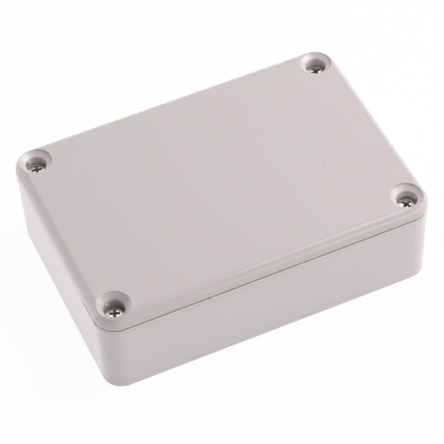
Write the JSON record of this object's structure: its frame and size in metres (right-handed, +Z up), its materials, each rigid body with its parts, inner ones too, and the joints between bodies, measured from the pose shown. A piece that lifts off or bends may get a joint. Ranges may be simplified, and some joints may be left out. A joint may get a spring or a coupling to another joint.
{
  "type": "die-cast aluminium enclosure",
  "caption": "Small sealed die-cast aluminium box: drafted base, shallow screw-down lid with a cord gasket, and captive screws sunk in funnelled corner recesses.",
  "frame": {"origin": "middle of the underside of the base", "axes": "+X along the long side, +Y along the short side towards the back, +Z up through the lid"},
  "size_m": [0.1, 0.07, 0.03],
  "materials": {
    "paint": "satin",
    "stainless_steel": "satin",
    "gasket_rubber": "matte",
    "nylon": "satin"
  },
  "bodies": {
    "base": {"base": "paint"},
    "lid": {"lid": "paint", "lid_gasket": "gasket_rubber"},
    "washer_front_left": {"captive_washer_front_left": "nylon"},
    "screw_front_left": {"lid_screw_front_left": "stainless_steel"},
    "washer_front_right": {"captive_washer_front_right": "nylon"},
    "screw_front_right": {"lid_screw_front_right": "stainless_steel"},
    "washer_back_left": {"captive_washer_back_left": "nylon"},
    "screw_back_left": {"lid_screw_back_left": "stainless_steel"},
    "washer_back_right": {"captive_washer_back_right": "nylon"},
    "screw_back_right": {"lid_screw_back_right": "stainless_steel"}
  },
  "joints": [
    {"name": "lid_lift", "type": "slide", "parent": "base", "child": "lid", "axis": [0, 0, 1], "range_m": [0, 0.05]},
    {"name": "front_left_screw_rise", "type": "slide", "parent": "lid", "child": "washer_front_left", "axis": [0, 0, 1], "range_m": [0, 0.005]},
    {"name": "front_left_screw_turn", "type": "hinge", "parent": "washer_front_left", "child": "screw_front_left", "pos_m": [-0.0439, -0.0289, 0.0167], "axis": [0, 0, 1], "range_deg": [0, 3600]},
    {"name": "front_right_screw_rise", "type": "slide", "parent": "lid", "child": "washer_front_right", "axis": [0, 0, 1], "range_m": [0, 0.005]},
    {"name": "front_right_screw_turn", "type": "hinge", "parent": "washer_front_right", "child": "screw_front_right", "pos_m": [0.0439, -0.0289, 0.0167], "axis": [0, 0, 1], "range_deg": [0, 3600]},
    {"name": "back_left_screw_rise", "type": "slide", "parent": "lid", "child": "washer_back_left", "axis": [0, 0, 1], "range_m": [0, 0.005]},
    {"name": "back_left_screw_turn", "type": "hinge", "parent": "washer_back_left", "child": "screw_back_left", "pos_m": [-0.0439, 0.0289, 0.0167], "axis": [0, 0, 1], "range_deg": [0, 3600]},
    {"name": "back_right_screw_rise", "type": "slide", "parent": "lid", "child": "washer_back_right", "axis": [0, 0, 1], "range_m": [0, 0.005]},
    {"name": "back_right_screw_turn", "type": "hinge", "parent": "washer_back_right", "child": "screw_back_right", "pos_m": [0.0439, 0.0289, 0.0167], "axis": [0, 0, 1], "range_deg": [0, 3600]}
  ],
  "couplings": [
    {"joint": "front_left_screw_turn", "follows": "front_left_screw_rise", "rad_per_m": 12566},
    {"joint": "front_right_screw_turn", "follows": "front_right_screw_rise", "rad_per_m": 12566},
    {"joint": "back_left_screw_turn", "follows": "back_left_screw_rise", "rad_per_m": 12566},
    {"joint": "back_right_screw_turn", "follows": "back_right_screw_rise", "rad_per_m": 12566}
  ]
}
